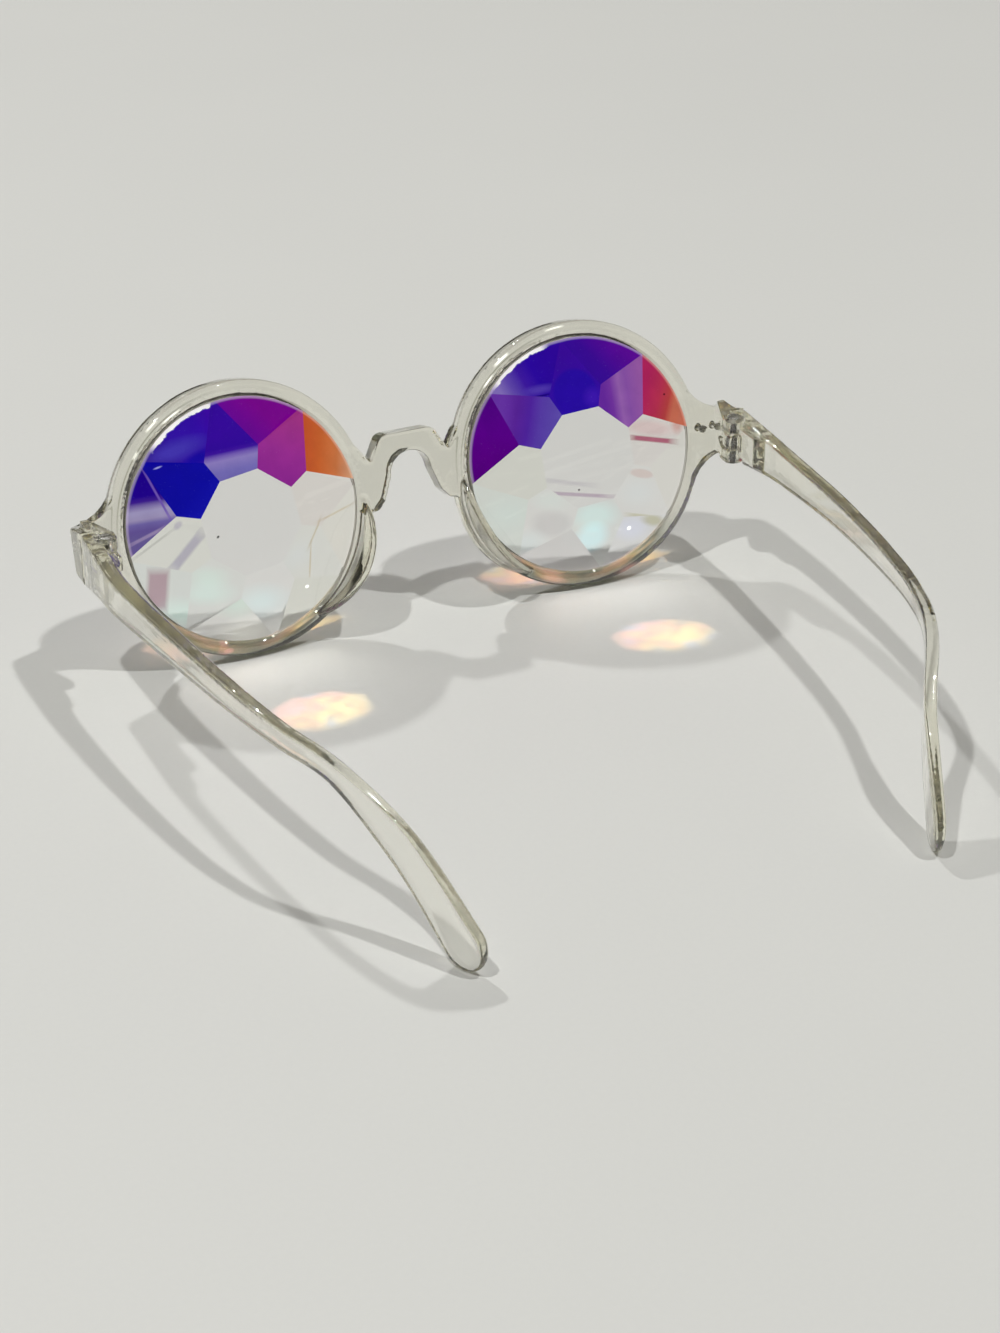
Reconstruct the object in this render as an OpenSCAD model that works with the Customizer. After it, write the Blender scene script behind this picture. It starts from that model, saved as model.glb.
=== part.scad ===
// Round clear-framed glasses with two faceted prism lenses and folding temples.
// X is the wearer's right, Y is the way the wearer looks, Z is up.
// The rims and the temple tips stand on Z = 0, and the box is centred in X and Y.

/* [Front] */
// Least distance between the two rims, over the nose
nose_gap = 18; // [16:0.5:22]
// Width of the rim's band, from the cut glass to the rim's outer edge
rim_band = 3.2; // [3:0.1:4.5]
// Depth of the rims, front to back
rim_depth = 4.7; // [4:0.1:6]
// Lean of the front, top edge forward
front_lean = 14; // [6:1:18]
// Turn of each rim back towards the temples
rim_turn = 2.5; // [0:0.5:6]
// Rounding of the rims' outer edges
rim_round = 1.2; // [0.6:0.1:1.5]
// Bevel round the opening on the wearer's side
seat_bevel = 0.8; // [0.4:0.1:1]

/* [Lenses] */
// Diameter of the cut glass between the lips of the rim
lens_d = 47.6; // [42:0.2:54]
// How far the edge tongue stands out of the glass
tongue_reach = 0.7; // [0.4:0.1:1]
// Thickness of the edge tongue
tongue_w = 1.2; // [0.8:0.1:1.6]
// Gap all round the glass in its rim
lens_gap = 0.06; // [0.04:0.01:0.1]
// Depth of the flat face behind the front of the rim
face_set = 0.7; // [0.3:0.1:1]
// Number of main facets
facet_count = 8; // [6:1:12]
// Width of the flat table across its corners
table_d = 20.7; // [14:0.1:26]
// Width across the ring where three facets meet
ring_d = 29.8; // [24:0.1:36]
// Height of the table above the facet tips
crown_h = 3.65; // [2:0.05:5]
// How far the facet tips stand behind the back of the rim
tip_back = 0.4; // [0.2:0.1:0.8]
// Turn of the cut on the left lens
left_cut_turn = -14; // [-22:1:22]
// Turn of the cut on the right lens
right_cut_turn = -18; // [-22:1:22]

/* [Bridge] */
// Height of the bridge's top edge above the lens centres
bridge_top = 11; // [9:0.1:14]
// How far each shoulder of the bridge lies inside the nearest point of its rim
shoulder_in = 3.4; // [2.5:0.1:4.5]
// Rounding of the shoulders
shoulder_round = 2.2; // [1:0.1:4]
// How far each notch, where the bridge meets its rim, lies inside the rim's nearest point
notch_in = 0.7; // [0.3:0.1:1.5]
// Height of the notches above the lens centres
notch_z = 5.9; // [4:0.1:7]
// Angle above the lens centre line at which the web beside a notch meets the rim
web_angle = 21; // [16:1:26]
// Top of the arch above the lens centres
arch_top = 7.1; // [5:0.1:8]
// Width of the arch
arch_w = 8.6; // [7:0.1:10]
// How far each side of the arch's foot lies inside the rim's nearest point
arch_foot_in = 1.2; // [0.8:0.1:2]
// How far the arch's foot lies below the lens centres
arch_drop = 3.8; // [3:0.1:5]
// How far the bridge stands ahead of the lens centres' plane
bridge_ahead = 1; // [0.5:0.1:2]

/* [Nose pads] */
// How far a pad stands back from the rim
pad_reach = 6.2; // [4:0.1:8]
// How far the middle of the pad's foot stands out of the rim
pad_foot = 1.2; // [1:0.1:2.5]
// Thickness of a pad at the middle of its free edge
pad_edge = 1.4; // [1:0.1:2]
// Length of a pad's foot along the rim
pad_len = 20; // [16:0.5:24]
// Length of a pad halfway to its free edge
pad_mid_len = 19; // [14:0.5:22]
// Angle of the pad's middle below the lens centre line
pad_angle = 30; // [24:1:34]

/* [Lugs and hinges] */
// Height of the lugs
lug_h = 9; // [8:0.1:11]
// How far the lug's outer face stands out of the rim
lug_out = 7.2; // [6:0.1:9]
// Rounding of the lug's front corner
lug_round = 3.4; // [2:0.1:4]
// Step from the rim's faces down to the lug's faces
lug_step = 0.1; // [0.05:0.05:0.3]
// Radius of the hollow curves between lug and rim
lug_fillet = 9; // [5:0.1:11]
// Diameter of the two pins in each lug
lug_pin_d = 1.4; // [1:0.1:1.8]
// Distance from the lug's outer face to the outer pin
lug_pin_in = 3.3; // [2.6:0.1:3.6]
// Distance between the two pins
lug_pin_step = 3.4; // [3:0.1:3.8]
// Height of the pins above the lens centres
lug_pin_rise = 0.6; // [-1:0.1:1.5]
// Gap round each pin in its hole
lug_pin_gap = 0.05; // [0.03:0.01:0.08]
// Radius of the hollow corner between the lug's back and its leg
crook_r = 1.2; // [0.6:0.1:2]
// How far back of the lens centres the seam between lug and temple lies
seam_back = 5.8; // [5:0.1:8]
// How far the middle of the seam lies above the lens centres
seam_rise = 0.8; // [0:0.1:2]
// How far the hinge line lies behind the seam
hinge_behind = 3; // [2.6:0.1:4]
// How far the hinge line lies inboard of the temple's inner face
hinge_inset = 0.8; // [0.4:0.1:1.6]
// How far the middle of the hinge lies above the middle of the seam
hinge_rise = 0.6; // [0:0.1:1]
// Outer diameter of the hinge knuckles
knuckle_d = 4.2; // [3.6:0.1:4.6]
// Height of the stack of three knuckles
knuckle_stack = 9.7; // [8:0.1:10]
// Height of the middle knuckle
knuckle_mid = 3.2; // [2.6:0.1:4]
// Length of the raised leaf on the temple's inner side
leaf_len = 8; // [6:0.5:12]
// Height of the leaf
leaf_h = 6.6; // [5:0.1:7]
// How far the leaf stands out of the temple
leaf_t = 0.9; // [0.5:0.1:1.4]
// Diameter of the hinge screw
screw_d = 1.6; // [1.2:0.1:1.8]
// Diameter of the screw's head
screw_head_d = 2.6; // [2.2:0.1:3]
// Height of the screw's head
screw_head_h = 1; // [0.6:0.1:1.4]
// Radial gap round the screw
screw_gap = 0.05; // [0.03:0.01:0.08]
// Gap between faces that turn past each other
turn_gap = 0.15; // [0.1:0.01:0.25]

/* [Temples] */
// Height of the temple at its hinge
temple_h = 10.9; // [10:0.1:12]
// Thickness of the temple and of the lug's leg at the seam
temple_t = 3.2; // [2.8:0.1:3.6]
// Height of the temple at its thinnest, before the ear bend
waist_h = 4.2; // [3:0.1:5]
// Rounding of the temple's long edges
temple_round = 0.6; // [0.3:0.1:0.9]
// Thickness of the temple at its tip
tip_t = 2.2; // [1.8:0.1:2.6]
// Height of the round tip
tip_h = 9.4; // [8:0.1:11]
// Distance from the seam to the middle of the round tip
temple_len = 117.5; // [105:0.5:130]
// How far the round tip lies inboard of the temple's front end
tip_in = 24.1; // [16:0.1:28]
// How far the temple's straight run lies above the middle of the seam
run_rise = 1.3; // [0:0.1:2.5]

/* [Hidden] */
$fn = 96;
eps = 0.01;
// Longer than anything it cuts
far = 200;
// Depth by which a joined form is sunk into the next
sunk = 0.3;
// How far the facets' planes would meet outside the glass's edge
tip_over = 0.15;
// How far the lugs' roots reach in from the middle of the rim's band
lug_root = 2;

lens_r = lens_d / 2;
rim_r = lens_r + rim_band;
half_pitch = rim_r + nose_gap / 2;
lug_reach = rim_r + lug_out;
seat_r = lens_r + lens_gap;
tongue_r = lens_r + tongue_reach;
tongue_y = rim_depth / 2 - tongue_w / 2;
// Middle of the rim's solid band, where the bridge, lugs and pads join it
band_r = (tongue_r + lens_gap + rim_r) / 2;
// The pads' walls facing the lenses stand a little clear of the opening's bevel
pad_clear = 0.2;
pad_wall_r = seat_r + seat_bevel + pad_clear;
// The lowest point of the leaning rims touches the table
centre_z = (rim_r - rim_round) * cos(front_lean) + (rim_depth - rim_round) * sin(front_lean) + rim_round;

// Seam between lug and temple, and the upright hinge line behind it
side_x = half_pitch + lug_reach * cos(rim_turn);
inner_x = side_x - temple_t;
seam_y = -seam_back;
hinge_x = inner_x - hinge_inset;
hinge_y = seam_y - hinge_behind;
seam_z = centre_z + seam_rise;
run_z = seam_z + run_rise;
hinge_z = seam_z + hinge_rise;
knuckle_r = knuckle_d / 2;
stack_low = hinge_z - knuckle_stack / 2;
stack_high = hinge_z + knuckle_stack / 2;
mid_low = hinge_z - knuckle_mid / 2;
mid_high = hinge_z + knuckle_mid / 2;
screw_hole_r = screw_d / 2 + screw_gap;

// Temple's middle line and size at named stations, from the seam to the round tip
tip_r = tip_h / 2;
blade_x = side_x - temple_t / 2;
tip_x = blade_x - tip_in;
front_y = (rim_r - rim_round) * sin(front_lean) + (rim_depth - rim_round) * cos(front_lean) + rim_round;
back_y = seam_y - temple_len - tip_r;
y_shift = -(front_y + back_y) / 2;

function along(share) = seam_y - turn_gap - (temple_len - turn_gap) * share;
function inward(share) = blade_x + (tip_x - blade_x) * share;
function high(front, tip) = waist_h + (temple_h - waist_h) * front + (tip_h - waist_h) * tip;
// Each station: share of the length, share of the way in, height, height of the section
STATIONS = [
    [0, 0, seam_z, high(1, 0)],
    [0.08, -0.01, seam_z + 0.3, high(0.7, 0)],
    [0.17, -0.01, run_z - 0.9, high(0.46, 0)],
    [0.37, 0.07, run_z - 0.1, high(0.27, 0)],
    [0.55, 0.18, run_z, high(0.14, 0)],
    [0.69, 0.31, run_z - 0.3, high(0.04, 0)],
    [0.8, 0.5, tip_r + (run_z - tip_r) * 0.92, high(0, 0.05)],
    [0.9, 0.79, tip_r + (run_z - tip_r) * 0.51, high(0, 0.64)],
    [1, 1, tip_r, high(0, 1)]
];
SPANS = len(STATIONS) - 1;
STEPS = 6;
CORNERS = 5;
SIDES = 4 * CORNERS;
// The round tip closes in rings up to this angle, and thins to this share at its end
TIP_STEPS = 6;
TIP_END = 88;
TIP_THIN = 0.35;
// Largest share of a side that its rounding may take
MOST = 0.45;

// Points of a smooth curve through the stations
function clampi(i) = max(0, min(SPANS, i));
function blend4(a, b, c, d, t) =
    0.5 * (2 * b + (c - a) * t + (2 * a - 5 * b + 4 * c - d) * t * t + (3 * b - a - 3 * c + d) * t * t * t);
function station(i, t) =
    blend4(STATIONS[clampi(i - 1)], STATIONS[clampi(i)], STATIONS[clampi(i + 1)], STATIONS[clampi(i + 2)], t);
function unit(v) = v / norm(v);
function spot(s) = [inward(s[1]), along(s[0]), s[2]];
function thick(share) = temple_t + (tip_t - temple_t) * share;

RUN = [for (i = [0:SPANS - 1]) for (k = [0:STEPS - 1]) station(i, k / STEPS), STATIONS[SPANS]];
LAST = len(RUN) - 1;
function heading(i) = unit(spot(RUN[min(LAST, i + 1)]) - spot(RUN[max(0, i - 1)]));
// At the hinge the section stands square to the seam
function course(i) = i == 0 ? [0, -1, 0] : heading(i);

// Rounded section, t wide and h high, as points across and up
function section(t, h) = [for (q = [0:3]) for (k = [0:CORNERS - 1])
    let (r = min(temple_round, t * MOST, h * MOST), a = 90 * q + 90 * k / (CORNERS - 1),
        cx = (q == 0 || q == 3 ? 1 : -1) * (t / 2 - r),
        cz = (q < 2 ? 1 : -1) * (h / 2 - r))
    [cx + r * cos(a), cz + r * sin(a)]];
function ring(at, dir, t, h) =
    let (across = unit([-dir[1], dir[0], 0]), up = cross(across, dir))
    [for (p = section(t, h)) at + across * p[0] + up * p[1]];

RINGS = concat(
    [for (i = [0:LAST]) ring(spot(RUN[i]), course(i), thick(RUN[i][0]), RUN[i][3])],
    [for (k = [1:TIP_STEPS])
        let (a = TIP_END * k / TIP_STEPS)
        ring(spot(RUN[LAST]) + course(LAST) * tip_r * sin(a), course(LAST),
            tip_t * (TIP_THIN + (1 - TIP_THIN) * cos(a)), tip_h * cos(a))]
);

// Solid through a list of rings
module loft(rings, sides) {
    count = len(rings);
    points = [for (r = rings) for (p = r) p];
    walls = [for (i = [0:count - 2]) for (j = [0:sides - 1])
        let (a = i * sides + j, b = i * sides + (j + 1) % sides)
        each [[a, b, b + sides], [a, b + sides, a + sides]]];
    first = [for (j = [1:sides - 2]) [0, j + 1, j]];
    end = (count - 1) * sides;
    final = [for (j = [1:sides - 2]) [end, end + j, end + j + 1]];
    polyhedron(points = points, faces = concat(walls, first, final), convexity = 6);
}

// Placing helpers
module in_box() {
    translate([0, y_shift, 0]) children();
}
module in_front() {
    in_box() translate([0, 0, centre_z]) rotate([-front_lean, 0, 0]) children();
}
// Side is 1 for the wearer's right and -1 for the left; children are drawn for the right
module on_side(side) {
    mirror([side < 0 ? 1 : 0, 0, 0]) children();
}
module at_lens() {
    translate([half_pitch, 0, 0]) rotate([0, 0, -rim_turn]) children();
}
module at_hinge() {
    translate([hinge_x, hinge_y, 0]) children();
}

// Rim
module rim_profile() {
    r = rim_round;
    difference() {
        union() {
            translate([seat_r, 0]) square([rim_r - seat_r - r, rim_depth]);
            translate([rim_r - r - eps, r]) square([r + eps, rim_depth - 2 * r]);
            translate([rim_r - r, r]) circle(r);
            translate([rim_r - r, rim_depth - r]) circle(r);
        }
        translate([seat_r, 0]) rotate(45) square(seat_bevel * sqrt(2), center = true);
        translate([seat_r - eps, tongue_y - lens_gap])
            square([tongue_reach + lens_gap + eps, tongue_w + 2 * lens_gap]);
    }
}
module rim() {
    rotate([-90, 0, 0]) rotate_extrude($fn = 180) rim_profile();
}
// Keeps what joins a rim out of its opening and groove
module rim_core() {
    translate([0, -far / 2, 0]) rotate([-90, 0, 0]) cylinder(r = band_r, h = far, $fn = 180);
}

// Bridge with its rounded arch
module bridge_shape() {
    half_w = nose_gap / 2 - shoulder_in;
    notch_x = nose_gap / 2 - notch_in;
    slope = atan((bridge_top - notch_z) / (notch_x - half_w));
    trim = shoulder_round * tan(slope / 2);
    web_x = half_pitch - rim_r * cos(web_angle);
    web_z = rim_r * sin(web_angle);
    foot_x = nose_gap / 2 - arch_foot_in;
    arch_r = arch_w / 2;
    arch_z = arch_top - arch_r;
    // Halfway down, the arch's sides stand halfway out
    flare_x = (arch_r + foot_x) / 2;
    flare_z = -arch_drop / 2;
    difference() {
        union() {
            for (s = [-1, 1]) {
                polygon([[0, bridge_top], [s * (half_w - trim), bridge_top],
                    [s * (half_w + trim * cos(slope)), bridge_top - trim * sin(slope)],
                    [s * notch_x, notch_z], [s * web_x, web_z],
                    [s * half_pitch, 0], [s * half_pitch, -arch_drop], [0, -arch_drop]]);
                translate([s * (half_w - trim), bridge_top - shoulder_round]) circle(shoulder_round);
            }
        }
        translate([0, arch_z]) circle(arch_r);
        polygon([[-arch_r, arch_z], [arch_r, arch_z], [flare_x, flare_z], [foot_x, -arch_drop - eps],
            [-foot_x, -arch_drop - eps], [-flare_x, flare_z]]);
    }
}
module bridge() {
    translate([0, bridge_ahead + rim_depth, 0]) rotate([90, 0, 0]) linear_extrude(rim_depth) bridge_shape();
}

// Nose pad, moulded on the lower inner quarter of the rim: a crescent between the opening's wall
// and a leaning cylinder, trimmed by a disc to a rounded free edge
function arc_r(chord, rise) = (chord * chord / 4 + rise * rise) / (2 * rise);
module pad_profile() {
    outer_r = rim_r + pad_foot + pad_reach;
    swell = 0.4;
    lip = 0.2;
    polygon([[pad_wall_r, -far], [outer_r, -far], [outer_r, -pad_reach], [rim_r + pad_foot + swell, lip],
        [rim_r - sunk, rim_depth / 2], [pad_wall_r, rim_depth / 2]]);
}
module pad() {
    foot_rise = rim_r - sqrt(rim_r * rim_r - pad_len * pad_len / 4) + pad_foot;
    foot_r = arc_r(pad_len, foot_rise);
    disc_r = arc_r(pad_mid_len, pad_reach / 2);
    splay = atan((rim_r + pad_foot - pad_wall_r - pad_edge) / pad_reach);
    rotate([0, 180 - pad_angle, 0]) intersection() {
        rotate([-90, 0, 0]) rotate_extrude($fn = 180) pad_profile();
        translate([rim_r + pad_foot, 0, 0]) rotate([0, 0, -splay]) translate([-foot_r, -far / 2, 0])
            rotate([-90, 0, 0]) cylinder(r = foot_r, h = far);
        translate([0, disc_r - pad_reach, 0]) rotate([0, 90, 0]) cylinder(r = disc_r, h = rim_r * 2);
    }
}

// Lug and its return leg, in the rim's own turned plane
module lug_elevation() {
    over = 1;
    half_h = lug_h / 2;
    root_r = rim_r - sunk;
    root_x = band_r - lug_root;
    fillet_z = half_h + lug_fillet;
    fillet_x = sqrt((root_r + lug_fillet) * (root_r + lug_fillet) - fillet_z * fillet_z);
    touch = root_r / (root_r + lug_fillet);
    translate([root_x, -half_h]) square([lug_reach + over - root_x, lug_h]);
    for (s = [-1, 1]) difference() {
        polygon([[root_x, 0], [fillet_x * touch, s * fillet_z * touch], [fillet_x, s * fillet_z],
            [fillet_x, 0]]);
        translate([fillet_x, s * fillet_z]) circle(lug_fillet);
    }
}
module lug_plan() {
    // Seen along the front's leaning plane: a rounded front corner and a flat side
    root_x = half_pitch + band_r - lug_root;
    corner_y = (rim_depth - lug_step) * cos(rim_turn) - lug_reach * sin(rim_turn) - lug_round;
    translate([root_x, -far / 2]) square([side_x - lug_round - root_x, far]);
    translate([root_x, -far / 2]) square([side_x - root_x, far / 2 + corner_y]);
    translate([side_x - lug_round, corner_y]) circle(lug_round);
}
module lug() {
    intersection() {
        at_lens() translate([0, rim_depth - lug_step, 0]) rotate([90, 0, 0])
            linear_extrude(rim_depth - 2 * lug_step) lug_elevation();
        translate([0, 0, -far / 2]) linear_extrude(far) lug_plan();
    }
}
// Leg from the lug back to the seam, as high as the temple there
module leg() {
    half_h = lug_h / 2;
    top = [half_h * sin(front_lean), half_h * cos(front_lean)];
    translate([inner_x, 0, 0]) rotate([90, 0, 90]) linear_extrude(temple_t)
        polygon([[seam_y, seam_z + temple_h / 2], [sunk + top[0], centre_z + top[1]],
            [sunk - top[0], centre_z - top[1]], [seam_y, seam_z - temple_h / 2]]);
}
module crook() {
    // Hollow curve between the back of the lug and the inner side of the leg
    leg_x = lug_reach - temple_t;
    at_lens() translate([0, 0, lug_step - lug_h / 2]) linear_extrude(lug_h - 2 * lug_step) difference() {
        translate([leg_x - crook_r, lug_step - crook_r]) square(crook_r + sunk);
        translate([leg_x - crook_r, lug_step - crook_r]) circle(crook_r);
    }
}
module lug_pin_places() {
    outer_x = lug_reach - lug_pin_in;
    for (x = [outer_x, outer_x - lug_pin_step])
        translate([x, 0, lug_pin_rise]) rotate([-90, 0, 0]) children();
}

// Hinge: the lug carries the outer knuckles, the temple the middle one
module knuckle(low, high) {
    translate([0, 0, low]) cylinder(r = knuckle_r, h = high - low, $fn = 48);
}
module knuckle_room(low, high) {
    translate([0, 0, low]) cylinder(r = knuckle_r + turn_gap, h = high - low, $fn = 48);
}
module lug_arm(low, high) {
    // Clear of the temple behind the seam, and into the leg ahead of it
    reach = hinge_behind + seam_back;
    translate([0, 0, low]) linear_extrude(high - low)
        polygon([[-knuckle_r, 0], [hinge_inset - turn_gap, 0], [hinge_inset - turn_gap, hinge_behind],
            [hinge_inset + temple_t / 2, hinge_behind], [hinge_inset + temple_t / 2, reach],
            [hinge_inset - eps, reach], [-knuckle_r, hinge_behind / 2]]);
}
module front_knuckle(low, high) {
    knuckle(low, high);
    lug_arm(low, high);
}
module screw_hole() {
    translate([0, 0, stack_low - eps]) cylinder(r = screw_hole_r, h = knuckle_stack + 2 * eps, $fn = 48);
}
module lug_pin_holes() {
    in_front() at_lens() lug_pin_places()
        translate([0, 0, -far / 2]) cylinder(r = lug_pin_d / 2 + lug_pin_gap, h = far, $fn = 32);
}
module lug_on_frame() {
    in_front() difference() {
        union() {
            lug();
            crook();
        }
        at_lens() rim_core();
    }
    in_box() leg();
}

module front_frame() {
    color([0.93, 0.94, 0.9, 0.45]) {
        in_front() difference() {
            bridge();
            for (s = [-1, 1]) on_side(s) at_lens() rim_core();
        }
        for (s = [-1, 1]) on_side(s) {
            in_front() at_lens() pad();
            difference() {
                union() {
                    in_front() at_lens() rim();
                    lug_on_frame();
                }
                lug_pin_holes();
            }
            in_box() at_hinge() difference() {
                union() {
                    front_knuckle(stack_low, mid_low - turn_gap);
                    front_knuckle(mid_high + turn_gap, stack_high);
                }
                screw_hole();
                translate([0, 0, stack_high - screw_head_h])
                    cylinder(r = screw_head_d / 2 + screw_gap, h = far, $fn = 48);
            }
        }
    }
}

// Cut glass lens: flat outer face, crown of facets towards the wearer
module lens_blank() {
    flat_y = rim_depth - face_set;
    table_back = crown_h + tip_back;
    rotate([-90, 0, 0]) rotate_extrude($fn = 180) union() {
        translate([0, -table_back]) square([lens_r, table_back + flat_y]);
        translate([0, tongue_y]) square([tongue_r, tongue_w]);
    }
}
module facet_cut(turn, reach, back, slope) {
    // Takes away all that lies behind a slanted plane
    rotate([0, -turn, 0]) translate([reach, -back, 0]) rotate([0, 0, slope])
        translate([-lens_d, -lens_d, -lens_d]) cube([2 * lens_d, lens_d, 2 * lens_d]);
}
module cut_lens(cut_turn) {
    half_step = 180 / facet_count;
    tip_reach = lens_r + tip_over;
    table_flat = table_d / 2 * cos(half_step);
    main_slope = atan(crown_h / (tip_reach - table_flat));
    ring_back = tip_back + crown_h - (ring_d / 2 * cos(half_step) - table_flat) * tan(main_slope);
    break_flat = tip_reach * cos(half_step);
    break_slope = atan((ring_back - tip_back) / (break_flat - ring_d / 2));
    color([0.72, 0.7, 0.95, 0.6]) difference() {
        lens_blank();
        for (k = [0:facet_count - 1]) {
            facet_cut(cut_turn + (2 * k + 1) * half_step, tip_reach, tip_back, main_slope);
            facet_cut(cut_turn + 2 * k * half_step, break_flat, tip_back, break_slope);
        }
    }
}
module left_lens() {
    in_front() translate([-half_pitch, 0, 0]) rotate([0, 0, rim_turn]) cut_lens(left_cut_turn);
}
module right_lens() {
    in_front() at_lens() cut_lens(right_cut_turn);
}

// Temple with its hinge leaf and the middle knuckle
module leaf() {
    // Its far end slopes down to the temple's inner side
    start = -knuckle_r - turn_gap;
    root_x = hinge_inset + temple_t / 2;
    translate([0, 0, hinge_z - leaf_h / 2]) linear_extrude(leaf_h)
        polygon([[hinge_inset - leaf_t, start], [hinge_inset - leaf_t, start - leaf_len + 2 * leaf_t],
            [hinge_inset, start - leaf_len], [root_x, start - leaf_len], [root_x, start]]);
}
module temple_arm() {
    // Joins the middle knuckle to the leaf and the blade
    translate([-knuckle_r, -knuckle_r - turn_gap - leaf_t, mid_low])
        cube([knuckle_r + hinge_inset + temple_t / 2, knuckle_r + turn_gap + leaf_t, knuckle_mid]);
}
module temple() {
    color([0.93, 0.94, 0.88, 0.45]) in_box() difference() {
        union() {
            loft(RINGS, SIDES);
            at_hinge() {
                knuckle(mid_low, mid_high);
                temple_arm();
                leaf();
            }
        }
        at_hinge() {
            screw_hole();
            knuckle_room(stack_low - lug_h, mid_low);
            knuckle_room(mid_high, stack_high + lug_h);
        }
    }
}
module left_temple() {
    on_side(-1) temple();
}
module right_temple() {
    temple();
}

// Hinge screw, its head sunk in the top knuckle
module hinge_screw() {
    slot_w = 0.4;
    // The shaft ends inside the head, under the slot
    shaft_h = knuckle_stack - screw_head_h * 3 / 4;
    color("silver") in_box() at_hinge() {
        translate([0, 0, stack_low]) cylinder(d = screw_d, h = shaft_h, $fn = 48);
        translate([0, 0, stack_high - screw_head_h]) difference() {
            cylinder(d = screw_head_d, h = screw_head_h, $fn = 48);
            translate([-screw_head_d, -slot_w / 2, screw_head_h / 2])
                cube([2 * screw_head_d, slot_w, screw_head_h]);
        }
    }
}
module left_hinge_screw() {
    on_side(-1) hinge_screw();
}
module right_hinge_screw() {
    hinge_screw();
}

// Two short pins through each lug
module lug_pins() {
    color("silver") in_front() at_lens() lug_pin_places() {
        translate([0, 0, lug_step]) cylinder(d = lug_pin_d, h = rim_depth - 2 * lug_step, $fn = 32);
    }
}
module left_lug_pins() {
    on_side(-1) lug_pins();
}
module right_lug_pins() {
    lug_pins();
}

front_frame();
left_lens();
right_lens();
left_temple();
right_temple();
left_hinge_screw();
right_hinge_screw();
left_lug_pins();
right_lug_pins();
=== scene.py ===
import math

import bpy
from bpy.props import FloatProperty, FloatVectorProperty, IntProperty, PointerProperty
from mathutils import Matrix, Vector


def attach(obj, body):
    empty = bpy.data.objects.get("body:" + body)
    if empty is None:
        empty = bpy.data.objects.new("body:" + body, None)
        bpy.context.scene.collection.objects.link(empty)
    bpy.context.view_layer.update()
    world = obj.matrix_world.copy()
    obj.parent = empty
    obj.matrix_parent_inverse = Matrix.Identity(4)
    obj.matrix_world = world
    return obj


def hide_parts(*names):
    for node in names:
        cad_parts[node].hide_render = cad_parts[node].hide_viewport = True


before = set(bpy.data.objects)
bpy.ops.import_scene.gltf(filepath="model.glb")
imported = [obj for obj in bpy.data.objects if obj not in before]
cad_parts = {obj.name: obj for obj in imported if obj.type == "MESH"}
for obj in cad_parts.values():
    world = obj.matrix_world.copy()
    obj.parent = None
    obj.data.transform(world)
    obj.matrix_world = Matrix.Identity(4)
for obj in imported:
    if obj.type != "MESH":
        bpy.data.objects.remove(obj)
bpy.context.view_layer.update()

bl_info = {
    "name": "Round glasses with cut prism lenses",
    "version": (1, 0, 0),
    "blender": (4, 5, 0),
    "location": "View3D > Sidebar > Glasses",
    "description": "Dresses the glasses: moulded clear plastic, cut and coated lenses, hinge screws and pins",
    "category": "Object",
}

MM = 0.001
IOR_ACRYLIC = 1.49
IOR_GLASS = 1.52
SMOOTH_ANGLE = math.radians(35)


# Sizes and colours that a user may change

class FrontSizes(bpy.types.PropertyGroup):
    lens_pitch: FloatProperty(name="Lens pitch", description="Distance between the two lens centres",
                              default=72 * MM, unit="LENGTH")
    lean: FloatProperty(name="Lean", description="Lean of the front, top edge forward",
                        default=math.radians(14), subtype="ANGLE")
    turn: FloatProperty(name="Turn", description="Turn of each rim back towards the temples",
                        default=math.radians(2.5), subtype="ANGLE")
    place: FloatVectorProperty(name="Place", description="Middle of the front at the back of the rims",
                               default=(0, 58.5812 * MM, 27.0804 * MM), subtype="TRANSLATION")
    rim_depth: FloatProperty(name="Rim depth", description="Depth of the rims, front to back",
                             default=4.7 * MM, unit="LENGTH")
    softness: FloatProperty(name="Softness", description="Grain at which the moulding's edges are rounded",
                            default=0.32 * MM, unit="LENGTH")


class LensSizes(bpy.types.PropertyGroup):
    radius: FloatProperty(name="Radius", description="Radius of the cut glass",
                          default=23.8 * MM, unit="LENGTH")
    sides: IntProperty(name="Sides", description="Number of sides of the round blank", default=160)
    tongue_reach: FloatProperty(name="Tongue reach", description="How far the edge tongue stands out",
                                default=0.7 * MM, unit="LENGTH")
    tongue_width: FloatProperty(name="Tongue width", description="Thickness of the edge tongue",
                                default=1.2 * MM, unit="LENGTH")
    face_set: FloatProperty(name="Face set", description="Depth of the flat face behind the rim's front",
                            default=0.7 * MM, unit="LENGTH")
    facets: IntProperty(name="Facets", description="Number of main facets", default=8)
    table: FloatProperty(name="Table", description="Width of the flat table across its corners",
                         default=20.7 * MM, unit="LENGTH")
    ring: FloatProperty(name="Ring", description="Width across the ring where three facets meet",
                        default=29.8 * MM, unit="LENGTH")
    crown: FloatProperty(name="Crown", description="Height of the table above the facet tips",
                         default=3.65 * MM, unit="LENGTH")
    tip_back: FloatProperty(name="Tip back", description="How far the facet tips stand behind the rim's back",
                            default=0.4 * MM, unit="LENGTH")
    left_turn: FloatProperty(name="Left turn", description="Turn of the cut on the left lens",
                             default=math.radians(-14), subtype="ANGLE")
    right_turn: FloatProperty(name="Right turn", description="Turn of the cut on the right lens",
                              default=math.radians(-18), subtype="ANGLE")


class LensLook(bpy.types.PropertyGroup):
    glow: FloatProperty(name="Glow", description="Light that the coated facets add, for what they mirror",
                        default=0.3)
    split_outer: FloatProperty(name="Split, front lamp", default=6.0,
                               description="Strength of split light that comes from in front of the wearer")
    split_inner: FloatProperty(name="Split, rear lamps", default=2.6,
                               description="Strength of split light that comes from behind the wearer")


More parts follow.
